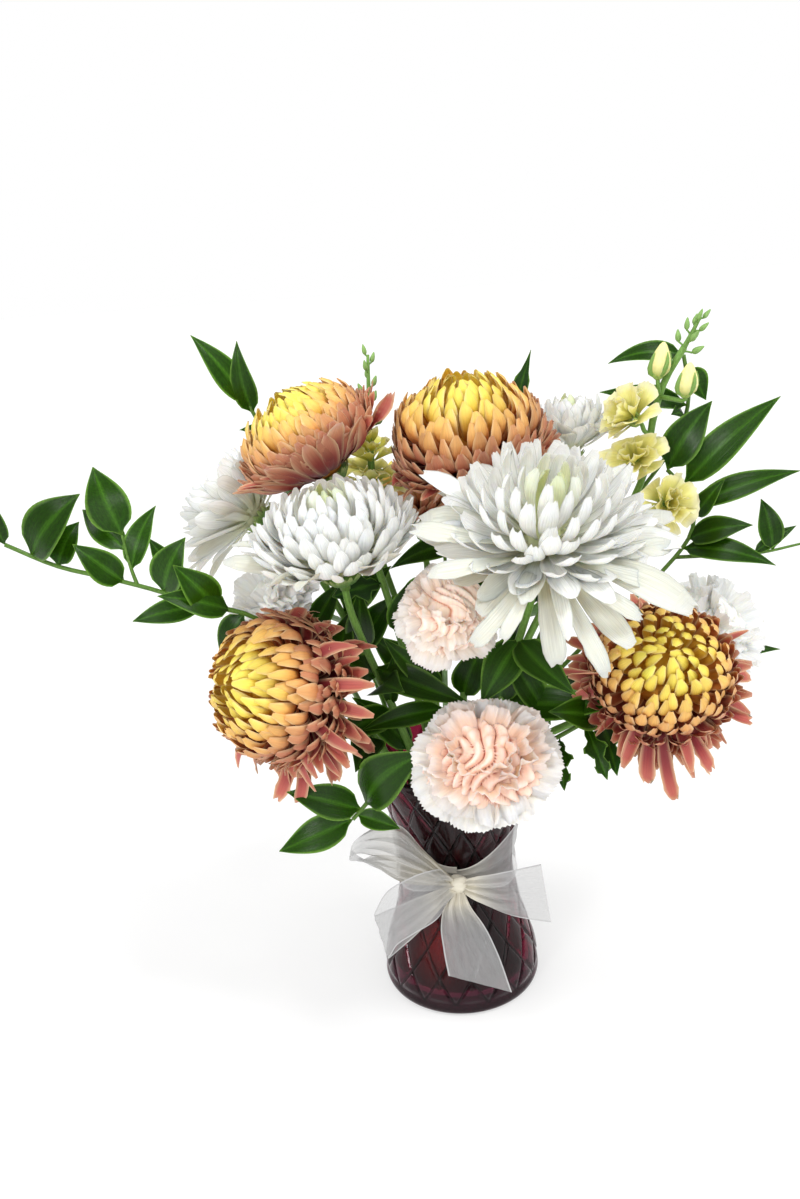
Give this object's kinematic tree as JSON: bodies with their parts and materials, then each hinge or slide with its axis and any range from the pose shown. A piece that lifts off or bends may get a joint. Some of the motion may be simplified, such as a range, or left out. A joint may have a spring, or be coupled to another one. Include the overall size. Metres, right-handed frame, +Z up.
{
  "type": "chrysanthemums in a jar",
  "caption": "Loose bunch of bronze and white chrysanthemums with carnations, stocks and ruscus, standing in water in a waisted red glass vase tied with a sheer ribbon",
  "frame": {"origin": "middle of the flat underside of the vase's foot", "axes": "+Z up, -Y towards the ribbon's knot (the front), +X to the right as seen from the front"},
  "size_m": [0.4489, 0.2717, 0.408],
  "materials": {
    "ruby_glass": "dark red pressed glass with raised diamonds",
    "water": "clear still water",
    "organza": "sheer white organza with denser edges",
    "bronze_petals": "petals, yellow at the middle through peach to a dusky red",
    "white_petals": "satin white petals",
    "blush_petals": "frilled blush petals",
    "peach_petals": "frilled peach petals with white edges",
    "primrose_petals": "pale yellow ruffled petals",
    "green_buds": "soft green buds",
    "flower_stems": "ribbed green stems and leaves",
    "ruscus_leaves": "glossy dark green leaves"
  },
  "bodies": {
    "root": {"glass_vase": "ruby_glass", "water": "water", "ribbon_band": "organza", "ribbon_bow": "organza", "bronze_mum_upper_left": "bronze_petals", "bronze_mum_upper_left_stem": "flower_stems", "bronze_mum_top": "bronze_petals", "bronze_mum_top_stem": "flower_stems", "bronze_mum_low_left": "bronze_petals", "bronze_mum_low_left_stem": "flower_stems", "bronze_mum_right": "bronze_petals", "bronze_mum_right_stem": "flower_stems", "white_mum_front": "white_petals", "white_mum_front_stem": "flower_stems", "white_mum_left": "white_petals", "white_mum_left_stem": "flower_stems", "white_mum_far_left": "white_petals", "white_mum_far_left_stem": "flower_stems", "white_mum_back_right": "white_petals", "white_mum_back_right_stem": "flower_stems", "carnation_blush": "blush_petals", "carnation_blush_stem": "flower_stems", "carnation_peach": "peach_petals", "carnation_peach_stem": "flower_stems", "carnation_right": "white_petals", "carnation_right_stem": "flower_stems", "carnation_left": "white_petals", "carnation_left_stem": "flower_stems", "bronze_mum_back": "bronze_petals", "bronze_mum_back_stem": "flower_stems", "white_mum_back": "white_petals", "white_mum_back_stem": "flower_stems", "stock_yellow_florets": "primrose_petals", "stock_yellow_florets_stem": "flower_stems", "stock_pale_floret_upper": "primrose_petals", "stock_pale_floret_lower": "primrose_petals", "stock_pale_floret_front": "primrose_petals", "stock_pale_bud_left": "primrose_petals", "stock_pale_bud_right": "primrose_petals", "stock_pale_stem": "flower_stems", "stock_yellow_tip": "green_buds", "ruscus_left": "ruscus_leaves", "ruscus_upper_left": "ruscus_leaves", "ruscus_low_left": "ruscus_leaves", "ruscus_low_right": "ruscus_leaves", "ruscus_right": "ruscus_leaves", "ruscus_upper_right": "ruscus_leaves", "ruscus_back": "ruscus_leaves"}
  },
  "joints": []
}
